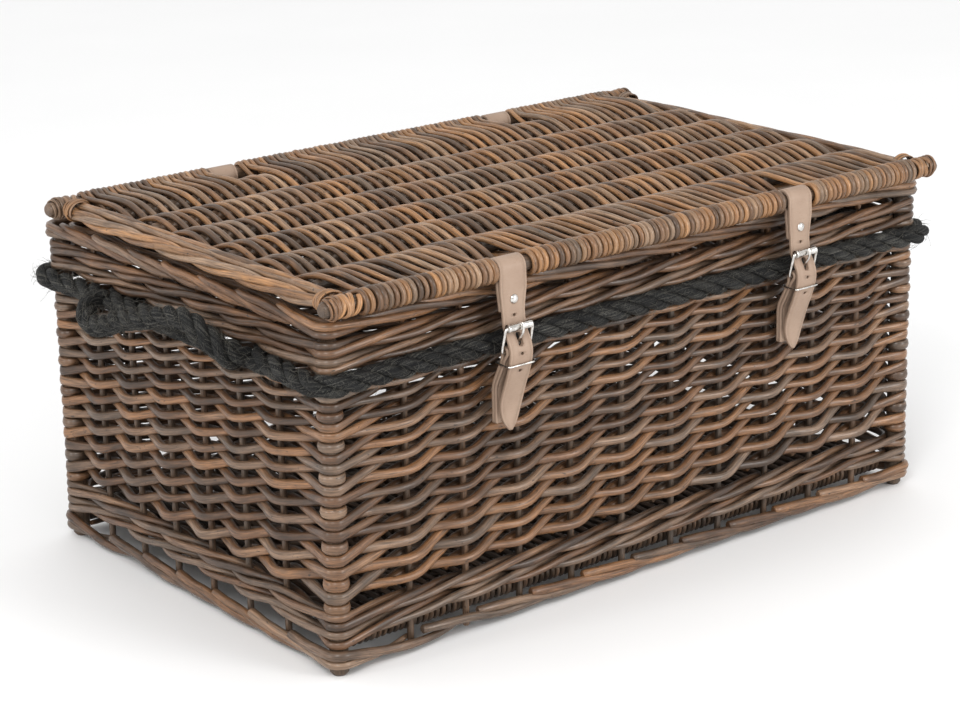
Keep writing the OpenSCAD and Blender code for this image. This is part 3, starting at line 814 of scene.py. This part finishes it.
def lid_ties():
    """Thin split willow bound round each corner, with a few thicker turns beside it."""
    bundle = Bundle()
    skein = 1.25
    thick = 2.3
    border_x = middle("lid_border_right")[0]
    on_stick = STICK_R + 0.8 * skein
    run = STICK_HALF - 13 - LID_HALF
    for y, way in ((LID_FRONT, -1), (LID_BACK, 1)):
        for _, side in SIDES:
            inward = -side * X_AXIS
            cut_end = np.array([side * (STICK_HALF - 4.0), y, LID_Z])
            coil(bundle, cut_end, Y_AXIS, inward, (on_stick, on_stick), 9.0, 4, skein)
            second = cut_end + 3.0 * inward
            coil(bundle, second, Y_AXIS, inward, (on_stick + 1.3, on_stick + 1.3), 5.0, 2.2, skein)
            start = np.array([side * (LID_HALF + 1.5), y, LID_Z])
            coil(bundle, start, Y_AXIS, -inward, (STICK_R + 1.4, STICK_R + 1.4), run, run / 4.6, thick)
            start = np.array([side * (border_x + 2.5), y - way * 12.0, LID_Z])
            coil(bundle, start, X_AXIS, -way * Y_AXIS, (9.8, 7.6), 9.0, 4.3, skein)
            coil(bundle, start, X_AXIS, -way * Y_AXIS, (10.6, 8.3), 7.0, 2.2, skein)
    bundle.build("lid_ties_skein", "lid_ties")


# ---- Rope ----

ROPE_R = 8.2
ROPE_OUT = 4.0 + ROPE_R
GRIP_HALF = 100.0
GRIP_REACH = 30.0
GRIP_RISE = 12.0
GRIP_WAVE = 22.0
GRIP_MIDDLE = middle("grip_left")[1]
STRAND_R = 4.2
STRAND_OUT = 4.4
# The length of one full turn of the strands
TRIM_LAY = 62.0
GRIP_LAY = 50.0
KNOT_LAY = 30.0


def carried_frames(points):
    """Two directions square to the path at each point, carried along it without turning."""
    along = tangents(points)
    first = [unit(np.cross(along[0], Z_AXIS) + 1e-6)]
    for t in along[1:]:
        last = first[-1]
        first.append(unit(last - np.dot(last, t) * t))
    first = np.array(first)
    return first, np.cross(along, first)


def rope(bundle, path, lay, spread=None, hairs=0.0):
    """Three strands laid round path. lay is the length of one full turn, hairs their number per mm."""
    path = np.asarray(path, float)
    length = travelled(path)
    count = int(length[-1] / 2.4) + 2
    at = np.linspace(0, length[-1], count)
    points = np.stack([np.interp(at, length, path[:, k]) for k in range(3)], axis=1)
    spread = np.full(count, STRAND_OUT) if spread is None else np.interp(at / at[-1], *spread)
    first, second = carried_frames(points)
    for k in range(3):
        phase = 2 * math.pi * (at / lay + k / 3)
        radial = np.cos(phase)[:, None] * first + np.sin(phase)[:, None] * second
        strand = points + spread[:, None] * radial
        bundle.tube(strand, STRAND_R, STRAND_R * 1.06, side=radial, sides=12, twist=0.22)
    fuzz(bundle, points, first, second, int(hairs * at[-1]))


def fuzz(bundle, points, first, second, count):
    """Loose fibres that stand off the rope."""
    for _ in range(count):
        i = RANDOM.integers(1, len(points) - 1)
        angle = RANDOM.random() * 2 * math.pi
        radial = math.cos(angle) * first[i] + math.sin(angle) * second[i]
        around = -math.sin(angle) * first[i] + math.cos(angle) * second[i]
        along = unit(points[i + 1] - points[i - 1]) * RANDOM.choice((-1, 1))
        lean = around * RANDOM.normal(0.4, 0.8) + along * RANDOM.normal(0.9, 0.4)
        root = points[i] + radial * (ROPE_R - 0.7)
        reach = RANDOM.uniform(3.0, 9.0)
        rise = RANDOM.uniform(0.05, 0.45)
        t = np.linspace(0, 1, 5)[:, None]
        curl = lean * reach * t + radial * reach * rise * np.sin(2.2 * t)
        tone = (2.0, RANDOM.random(), 0.5)
        bundle.tube(root + curl, np.linspace(0.16, 0.07, 5), side=radial, sides=3, tone=tone)


def corner_way(x_side, y_side):
    """The rope's way round one corner, from the end wall to the long wall."""
    corner_r = POST_R + ROPE_R + 0.2
    ease = 34.0
    x = LEFT if x_side < 0 else RIGHT
    y = FRONT if y_side < 0 else BACK
    way = [(x + x_side * ROPE_OUT, y - y_side * (corner_r + ease), ROPE_Z)]
    for degrees in range(-6, 97, 17):
        a = math.radians(degrees)
        way.append((x + x_side * corner_r * math.cos(a), y + y_side * corner_r * math.sin(a), ROPE_Z))
    way.append((x - x_side * (corner_r + ease), y + y_side * ROPE_OUT, ROPE_Z))
    return way


def rope_trim():
    bundle = Bundle()
    end = GRIP_HALF + ROPE_R + 0.3
    for side in (-1, 1):
        way = [(LEFT - ROPE_OUT, GRIP_MIDDLE + side * end, ROPE_Z)] + corner_way(-1, side)
        way += corner_way(1, side)[::-1] + [(RIGHT + ROPE_OUT, GRIP_MIDDLE + side * end, ROPE_Z)]
        rope(bundle, spline(way, 4.0), TRIM_LAY, hairs=2.2)
    half = GRIP_HALF - ROPE_R - 3
    for _, side in SIDES:
        x = side * (RIGHT + ROPE_OUT)
        way = [(x, GRIP_MIDDLE - half, ROPE_Z), (x, GRIP_MIDDLE, ROPE_Z), (x, GRIP_MIDDLE + half, ROPE_Z)]
        rope(bundle, spline(way, 4.0), TRIM_LAY, hairs=1.2)
    bundle.build("rope_trim_strands", "rope_trim")


def grip_point(side, t):
    wave = max(math.sin(math.pi * t), 0.0)
    swing = math.cos(math.pi * t)
    reach = GRIP_REACH * wave ** 0.42
    along = -GRIP_HALF * math.copysign(abs(swing) ** 0.75, swing)
    up = wave ** 2 * (GRIP_RISE + 2 * GRIP_WAVE * swing)
    return (side * (RIGHT + ROPE_OUT + reach), GRIP_MIDDLE + along, ROPE_Z + up)


def grips():
    for name, side in SIDES:
        bundle = Bundle()
        way = [grip_point(side, i / 22) for i in range(23)]
        rope(bundle, spline(way, 3.0), GRIP_LAY, hairs=3.0)
        bundle.build("grip_" + name + "_strands", "grip_" + name)
        knots = Bundle()
        for end in (-1, 1):
            start = np.array([side * (RIGHT + ROPE_OUT - ROPE_R), GRIP_MIDDLE + end * GRIP_HALF, ROPE_Z])
            way = [start, start - side * 12 * X_AXIS, start - side * 26 * X_AXIS]
            spread = ((0.0, 0.45, 0.6, 0.78, 0.92, 1.0), (3.6, 3.6, 7.2, 7.4, 5.0, 2.2))
            rope(knots, spline(way, 2.0), KNOT_LAY, spread, hairs=2.0)
        knots.build("grip_knots_" + name + "_strands", "grip_knots_" + name)


# ---- Leather ----

# A strap's section from one edge to the middle: distance in from the edge, height in half thicknesses
OUTER_EDGE = ((0.0, 0.42), (0.22, 0.80), (0.7, 0.98), (1.7, 1.0), (2.05, 0.70), (2.4, 1.0), (5.5, 1.03))
INNER_EDGE = ((0.0, -0.42), (0.22, -0.80), (0.7, -0.98), (2.4, -1.0), (5.5, -1.0))


def strap_section(half_width, half_t):
    squeeze = min(1.0, half_width / 6.0)
    points = []
    for way, edge in ((-1, OUTER_EDGE), (1, OUTER_EDGE[::-1]), (1, INNER_EDGE), (-1, INNER_EDGE[::-1])):
        points += [(way * (half_width - d * squeeze), h * half_t) for d, h in edge]
    return np.array(points)


def leather_strip(bundle, x, line, thick, width, tail=0.0):
    """A strap whose middle line is (y, z) rows. Its last tail mm narrow to a blunt point.

    width is a number, or a function of z.
    """
    rows = spline([(0.0, y, z) for y, z in line], 1.6)
    along = tangents(rows)
    out = np.cross(along, X_AXIS)
    length = travelled(rows)
    left = length[-1] - length
    rings = []
    for point, normal, rest in zip(rows, out, left):
        narrow = 1.0
        if tail > 0 and rest < tail:
            narrow = max(0.16, (1 - (1 - rest / tail) ** 2.0) ** 0.62)
        here = width(point[2]) if callable(width) else width
        section = strap_section(here / 2 * narrow, thick / 2)
        rings.append(point + section[:, :1] * X_AXIS + section[:, 1:] * normal + np.array([x, 0, 0]))
    rings = np.array(rings)
    bundle.loft(rings, rings, tone=(0.2, 0.5, 0.5))


def arc(centre, radius, start, end, step=15):
    """Points (y, z) round a stick, from start to end degrees."""
    count = max(2, int(abs(end - start) / step) + 1)
    return [
        (centre[0] + radius * math.cos(a), centre[1] + radius * math.sin(a))
        for a in np.radians(np.linspace(start, end, count))
    ]


def offset(line, distance):
    """The same line, moved sideways."""
    line = np.asarray(line, float)
    along = unit(np.gradient(line, axis=0))
    return line + distance * np.stack([-along[:, 1], along[:, 0]], axis=1)


def doubled(line, fold):
    """A strap of two layers that lie together along a line, with a fold at their end."""
    back, front = ([tuple(p) for p in offset(line, way * LAYER_OUT)] for way in (1, -1))
    return back[::-1] + fold + front


def punch(piece, cutters):
    """Cuts holes through a piece with small turned or boxed cutters."""
    for cutter in cutters:
        cut = piece.modifiers.new("hole", "BOOLEAN")
        cut.operation = "DIFFERENCE"
        cut.solver = "EXACT"
        cut.object = cutter
    depsgraph = bpy.context.evaluated_depsgraph_get()
    mesh = bpy.data.meshes.new_from_object(piece.evaluated_get(depsgraph))
    piece.modifiers.clear()
    piece.data = mesh
    for cutter in cutters:
        bpy.data.objects.remove(cutter)


def cutter(place, size, bevel):
    """A rounded block in the strap's way: place and size in mm."""
    bpy.ops.mesh.primitive_cube_add(size=1)
    block = bpy.context.object
    block.data.transform(block.matrix_world)
    for vertex in block.data.vertices:
        vertex.co = [(p + s * c) * MM for p, s, c in zip(place, size, vertex.co)]
    round_off = block.modifiers.new("round", "BEVEL")
    round_off.width = bevel * MM
    round_off.segments = 5
    return block


# (y, z) rows below are from the middle of a lid stick: the front one, or for HINGE_PACK the back one.
LOOP_R = STICK_R + 0.05 + LEATHER_T / 2
BAR = (-9.8, -60.5)
ROLLER = (-14.5, -41.5)
STRAP_DOWN = (
    (-7.9, -11), (-7.6, -20), (-7.6, -30), (-8.1, -36.5), (-8.9, -41.5), (-11, -47), (-14.6, -53.5),
    (-16.3, -59), (-16.3, -63.5), (-15, -70), (-12, -79), (-7.6, -90), (-4, -101), (-2.4, -109),
    (-2.4, -124),
)
STRAP_BACK = ((-4.5, -31), (-4.5, -21), (-4.3, -11.5))
STRAP_TAIL = 27.0
HOLES = (-34.0, -61.5, -75.0)
PRONG_HOLE = (-13.6, -51.2)
PACK_Y = 3.4
PACK = (
    (-7.6, -66.5), (-6.6, -69), (-3.2, -76), (0.2, -82.5), (2.6, -88),
    (PACK_Y, -92), (PACK_Y, -105), (PACK_Y, -118),
)
HINGE_PACK = ((12, -6.2), (20, -8.6), (25.2, -12.6), (26.6, -20), (25.4, -29.5), (22.8, -36.5), (22.6, -47))


def from_stick(line, y):
    """Moves (y, z) rows from a lid stick's middle into the frame."""
    return [(y + p[0], LID_Z + p[1]) for p in line]


def closing_width(z):
    """The closing strap narrows between its rivet and its buckle."""
    return float(np.interp(z - LID_Z, (-31, -14), (NARROW_W, STRAP_W)))


def closing_straps():
    for name, side in SIDES:
        bundle = Bundle()
        line = list(STRAP_BACK) + arc((0, 0), LOOP_R, -118, -90) + arc((0, 0), LOOP_R, -75, 180)
        line += [(-LOOP_R - 0.1, -4.5)] + list(STRAP_DOWN)
        way = from_stick(line, LID_FRONT)
        leather_strip(bundle, side * STRAP_X, way, LEATHER_T, closing_width, STRAP_TAIL)
        piece = bundle.build("closing_strap_" + name + "_leather", "closing_strap_" + name)
        cutters = []
        for z in HOLES:
            y = np.interp(-z, [-p[1] for p in STRAP_DOWN], [p[0] for p in STRAP_DOWN])
            cutters.append(cutter((side * STRAP_X, LID_FRONT + y, LID_Z + z), (2.4, 5.0, 2.4), 1.1))
        place = (side * STRAP_X, LID_FRONT + PRONG_HOLE[0], LID_Z + PRONG_HOLE[1])
        cutters.append(cutter(place, (4.6, 11.0, 10.0), 2.0))
        punch(piece, cutters)


def buckle_straps():
    """A strap folded round the buckle's bar, its two layers lying together down to the wall."""
    for name, side in SIDES:
        bundle = Bundle()
        line = doubled(PACK, arc(BAR, 2.95, 8, 198, 25))
        leather_strip(bundle, side * STRAP_X, from_stick(line, LID_FRONT), LEATHER_T - 0.1, NARROW_W)
        piece = bundle.build("buckle_strap_" + name + "_leather", "buckle_strap_" + name)
        place = (side * STRAP_X, LID_FRONT + BAR[0] - 1.5, LID_Z + BAR[1] + 1.5)
        punch(piece, [cutter(place, (5.4, 11.0, 10.0), 2.2)])


def hinge_straps():
    for name, side in SIDES:
        bundle = Bundle()
        line = doubled(HINGE_PACK, arc((0, 0), LOOP_R, 34, 268))
        leather_strip(bundle, side * STRAP_X, from_stick(line, LID_BACK), LEATHER_T - 0.1, STRAP_W)
        bundle.build("hinge_strap_" + name + "_leather", "hinge_strap_" + name)


# ---- Metal ----

DOME = ((0.02, 2.35), (1.4, 2.25), (2.7, 1.85), (3.6, 1.25), (4.15, 0.6), (4.35, 0.15), (4.2, 0.0))


def rivet(bundle, face, axis, length, foot_r, head=1.0):
    """A domed rivet: its head on the face, its shank through the leather, and a flat washer behind."""
    face = np.asarray(face, float)
    axis = unit(np.asarray(axis, float))
    profile = [(r * head, h * head) for r, h in DOME]
    profile += [(1.8, 0.0), (1.8, -length), (foot_r, -length), (foot_r + 0.15, -length - 0.3)]
    profile += [(foot_r + 0.15, -length - 0.9), (foot_r - 0.3, -length - 1.3), (0.05, -length - 1.4)]
    bundle.turned(face, axis, profile, tone=(0.5, 0.5, 0.5))


def rivets():
    for name, side in SIDES:
        x = side * STRAP_X
        bundle = Bundle()
        rivet(bundle, (x, LID_FRONT - 9.0, LID_Z - 22), -Y_AXIS, 6.2, 3.8, 0.85)
        bundle.build("strap_rivet_" + name + "_cap", "strap_rivet_" + name)
        bundle = Bundle()
        low, high = box_mm("buckle_rivets_" + name)
        face = LID_FRONT + PACK_Y - LEATHER_T
        for z in (high[2] - 6.0, low[2] + 6.0):
            rivet(bundle, (x, face, z), -Y_AXIS, high[1] - 1.4 - face, 5.8, 0.55)
        bundle.build("buckle_rivets_" + name + "_caps", "buckle_rivets_" + name)
        bundle = Bundle()
        low, high = box_mm("hinge_rivets_" + name)
        face = LID_BACK + 22.6 + LEATHER_T
        for offset_x in (-6, 6):
            place = (x + offset_x, face, (low[2] + high[2]) / 2)
            rivet(bundle, place, Y_AXIS, face - low[1] - 1.4, 4.8, 0.9)
        bundle.build("hinge_rivets_" + name + "_caps", "hinge_rivets_" + name)


def rounded_loop(first, second, middle_point, a, b, radius):
    """A closed loop of points: a rectangle of half sides a and b in the plane of two directions."""
    points = []
    for sa, sb, start in ((1, 1, 0), (-1, 1, 90), (-1, -1, 180), (1, -1, 270)):
        for angle in np.radians(np.linspace(start, start + 90, 6)):
            u = sa * (a - radius) + radius * math.cos(angle)
            v = sb * (b - radius) + radius * math.sin(angle)
            points.append(middle_point + u * first + v * second)
    return np.array(points)


def buckles():
    bar = np.array([0.0, LID_FRONT + BAR[0], LID_Z + BAR[1]])
    top = np.array([0.0, LID_FRONT + ROLLER[0], LID_Z + ROLLER[1]])
    up = unit(top - bar)
    tall = np.linalg.norm(top - bar) / 2
    facing = np.cross(X_AXIS, up)
    tone = (0.5, 0.5, 0.5)
    for name, side in SIDES:
        place = side * STRAP_X * X_AXIS
        bundle = Bundle()
        loop = rounded_loop(X_AXIS, up, place + (bar + top) / 2, NARROW_W / 2 + 2.3, tall, 2.0)
        wire = spline(loop, 2.0, closed=True)
        bundle.tube(wire, 1.3, side=facing, closed=True, sides=14, tone=tone)
        bundle.build("buckle_frame_" + name + "_wire", "buckle_frame_" + name)
        bundle = Bundle()
        half, outer, bore = NARROW_W / 2 + 0.8, 3.2, 1.55
        end = ((bore, 0.0), (outer - 0.35, 0.0), (outer, 0.4), (outer, 1.6), (outer - 0.12, 1.9))
        profile = [(r, h - half) for r, h in end] + [(r, half - h) for r, h in end[::-1]]
        bundle.turned(place + top, X_AXIS, profile, tone, 40)
        bundle.build("buckle_roller_" + name + "_tube", "buckle_roller_" + name)
        bundle = Bundle()
        eye = arc(BAR, 2.45, 460, 185, 20)
        line = eye + [(-12.8, -53.2), (-16.2, -49), (-18.8, -45), (-19.4, -41.4), (-18.5, -37.8)]
        knots = [(side * STRAP_X, y, z) for y, z in from_stick(line, LID_FRONT)]
        rows = spline(knots, 1.2)
        width = np.interp(np.linspace(0, 1, len(rows)), (0, 0.3, 0.6, 1), (1.5, 1.6, 1.35, 0.85))
        bundle.tube(rows, width, 0.85, side=X_AXIS, sides=12, tone=tone)
        bundle.build("buckle_prong_" + name + "_wire", "buckle_prong_" + name)
        bundle = Bundle()
        low, high = box_mm("strap_keeper_" + name)
        mid = (low + high) / 2
        a, b = (high[0] - low[0]) / 2 - 0.8, (high[1] - low[1]) / 2 - 0.8
        loop = rounded_loop(X_AXIS, Y_AXIS, mid, a, b, 1.6)
        bundle.tube(spline(loop, 2.0, closed=True), 0.8, side=Z_AXIS, closed=True, sides=10, tone=tone)
        bundle.build("strap_keeper_" + name + "_wire", "strap_keeper_" + name)


# ---- Room, lights and camera ----

CAMERA_AT = (-1.2700, -1.5703, 0.7874)
CAMERA_YAW, CAMERA_DOWN, CAMERA_ROLL = 38.56, 17.73, -1.12
CAMERA_LENS = 95.6


def plain_material(name, colour, roughness):
    g = Graph(name, Roughness=roughness)
    place = g.add("TexCoord").outputs["Object"]
    cloud = g.noise(place, 3.0, 2.0)
    low = tuple(0.985 * c for c in colour)
    return g.finish(Base_Color=g.ramp(cloud, ((0.3, low), (0.7, colour))))


def room():
    bpy.ops.mesh.primitive_plane_add(size=24.0)
    floor = bpy.context.object
    floor.name = "floor"
    floor.data.materials.append(plain_material("floor_paper", (0.86, 0.86, 0.86), 0.75))
    world = bpy.data.worlds.new("studio")
    bpy.context.scene.world = world
    world.use_nodes = True
    sky = world.node_tree.nodes["Background"].inputs
    sky["Color"].default_value = (1.0, 1.0, 1.0, 1.0)
    sky["Strength"].default_value = 1.05
    view = bpy.context.scene.view_settings
    view.view_transform = "Standard"
    view.gamma = 0.9


def look_at(thing, target):
    direction = np.asarray(target) - np.array(thing.location)
    yaw = math.atan2(direction[0], direction[1])
    down = math.atan2(-direction[2], math.hypot(direction[0], direction[1]))
    thing.rotation_euler = (math.pi / 2 - down, 0.0, -yaw)


def area_light(name, place, target, size, watts):
    data = bpy.data.lights.new(name, "AREA")
    data.size = size
    data.energy = watts
    light = bpy.data.objects.new(name, data)
    bpy.context.scene.collection.objects.link(light)
    light.location = place
    look_at(light, target)


def lights():
    middle_of_trunk = (0.0, 0.0, 0.15)
    area_light("key", (-1.7, -1.4, 1.7), middle_of_trunk, 0.7, 24.0)
    area_light("side", (-2.4, 0.2, 0.7), middle_of_trunk, 0.35, 11.0)
    area_light("front", (0.9, -2.6, 1.0), middle_of_trunk, 1.0, 32.0)


def camera():
    data = bpy.data.cameras.new("camera")
    data.lens = CAMERA_LENS
    data.sensor_width = 36.0
    data.clip_start = 0.01
    eye = bpy.data.objects.new("camera", data)
    bpy.context.scene.collection.objects.link(eye)
    eye.location = CAMERA_AT
    eye.rotation_mode = "XYZ"
    yaw, down, roll = (math.radians(a) for a in (CAMERA_YAW, CAMERA_DOWN, CAMERA_ROLL))
    forward = Matrix.Rotation(-yaw, 4, "Z") @ Matrix.Rotation(math.pi / 2 - down, 4, "X")
    turn = forward @ Matrix.Rotation(roll, 4, "Z")
    eye.rotation_euler = turn.to_euler()
    bpy.context.scene.camera = eye


# ---- Making ----

camera()
room()
lights()
uprights()
foot_border()
bottom_wale()
rand_rods()
top_wale()
top_border()
base_weave()
lid_weave()
lid_borders()
lid_ties()
sticks()
rope_trim()
grips()
closing_straps()
buckle_straps()
hinge_straps()
rivets()
buckles()

bpy.context.view_layer.update()
